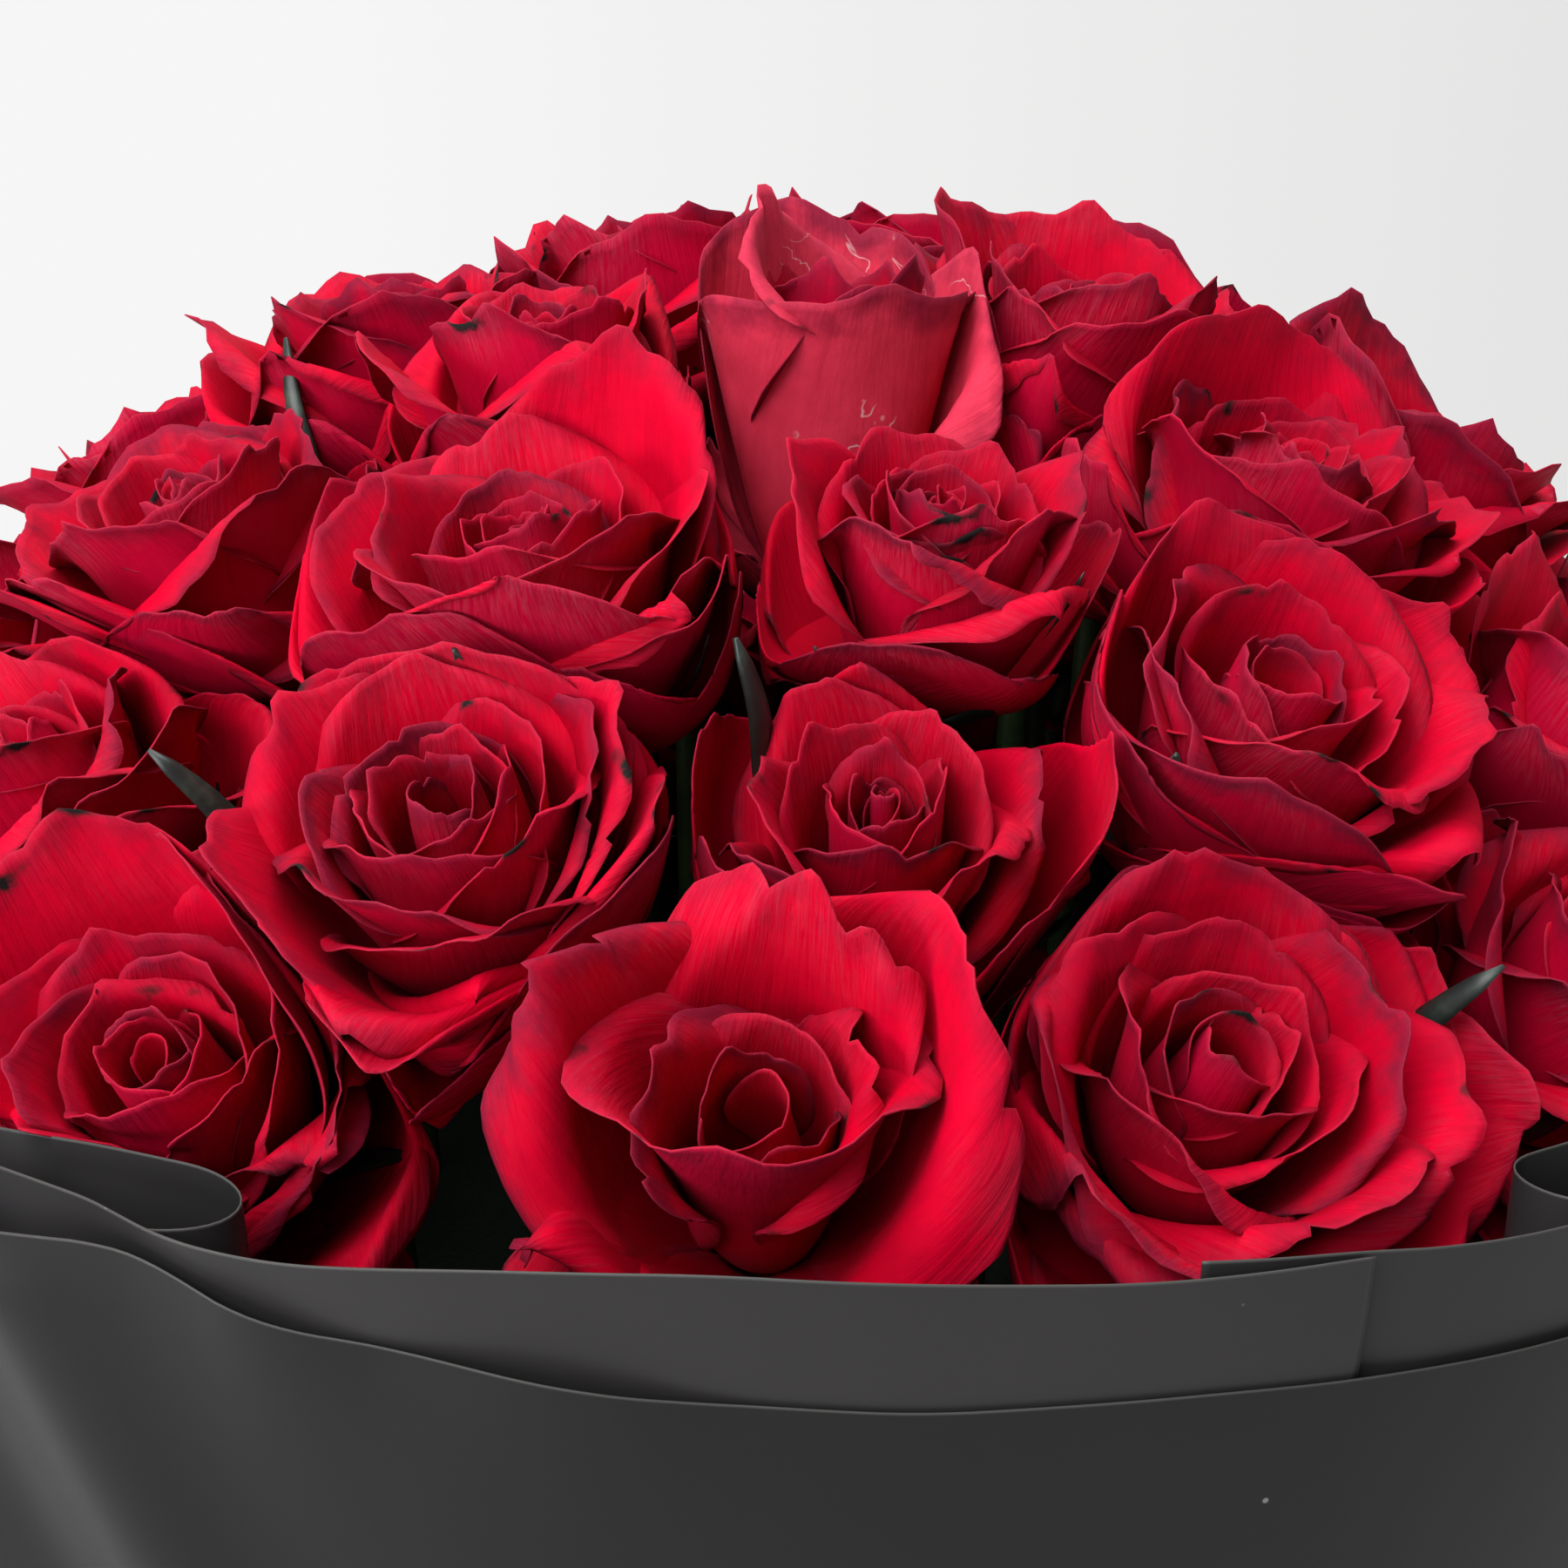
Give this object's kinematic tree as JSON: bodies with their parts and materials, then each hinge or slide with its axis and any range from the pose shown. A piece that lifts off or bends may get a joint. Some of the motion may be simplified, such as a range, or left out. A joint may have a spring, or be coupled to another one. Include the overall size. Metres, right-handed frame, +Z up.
{
  "type": "flower box",
  "caption": "Round flower box wrapped in two stepped layers of dark matte film, holding a low dome of open red roses in a lift-out foam insert.",
  "frame": {"origin": "centre of the box's foot, on the surface it stands on", "axes": "+Z up, -Y towards the front, where the dome was viewed from, +X to the right of that view"},
  "size_m": [0.524, 0.5238, 0.3871],
  "materials": {
    "card": "matte black paper-covered card",
    "wrap_film": "satin charcoal floral film",
    "liner_film": "dark glossy waterproof film",
    "floral_foam": "open-cell wet floral foam",
    "stem": "fresh green stem",
    "sepal": "dark green sepals",
    "petal": "velvety crimson petals, paler and satin outside"
  },
  "bodies": {
    "box": {"box_wall": "card", "box_base": "card", "wrap_sheet_left": "wrap_film", "wrap_sheet_right": "wrap_film", "wrap_sheet_outer": "wrap_film"},
    "insert": {"liner": "liner_film", "foam_block": "floral_foam", "stems": "stem", "calyxes": "sepal", "rose_01": "petal", "rose_02": "petal", "rose_03": "petal", "rose_04": "petal", "rose_05": "petal", "rose_06": "petal", "rose_07": "petal", "rose_08": "petal", "rose_09": "petal", "rose_10": "petal", "rose_11": "petal", "rose_12": "petal", "rose_13": "petal", "rose_14": "petal", "rose_15": "petal", "rose_16": "petal", "rose_17": "petal", "rose_18": "petal", "rose_19": "petal", "rose_20": "petal", "rose_21": "petal", "rose_22": "petal", "rose_23": "petal", "rose_24": "petal", "rose_25": "petal", "rose_26": "petal", "rose_27": "petal", "rose_28": "petal", "rose_29": "petal", "rose_30": "petal", "rose_31": "petal", "rose_32": "petal", "rose_33": "petal", "rose_34": "petal", "rose_35": "petal", "rose_36": "petal", "rose_37": "petal", "rose_38": "petal", "rose_39": "petal", "rose_40": "petal", "rose_41": "petal", "rose_42": "petal", "rose_43": "petal", "rose_44": "petal", "rose_45": "petal", "rose_46": "petal", "rose_47": "petal", "rose_48": "petal", "rose_49": "petal", "rose_50": "petal", "rose_51": "petal"}
  },
  "joints": [
    {"name": "insert_lift", "type": "slide", "parent": "box", "child": "insert", "axis": [0, 0, 1], "range_m": [0, 0.28]}
  ]
}
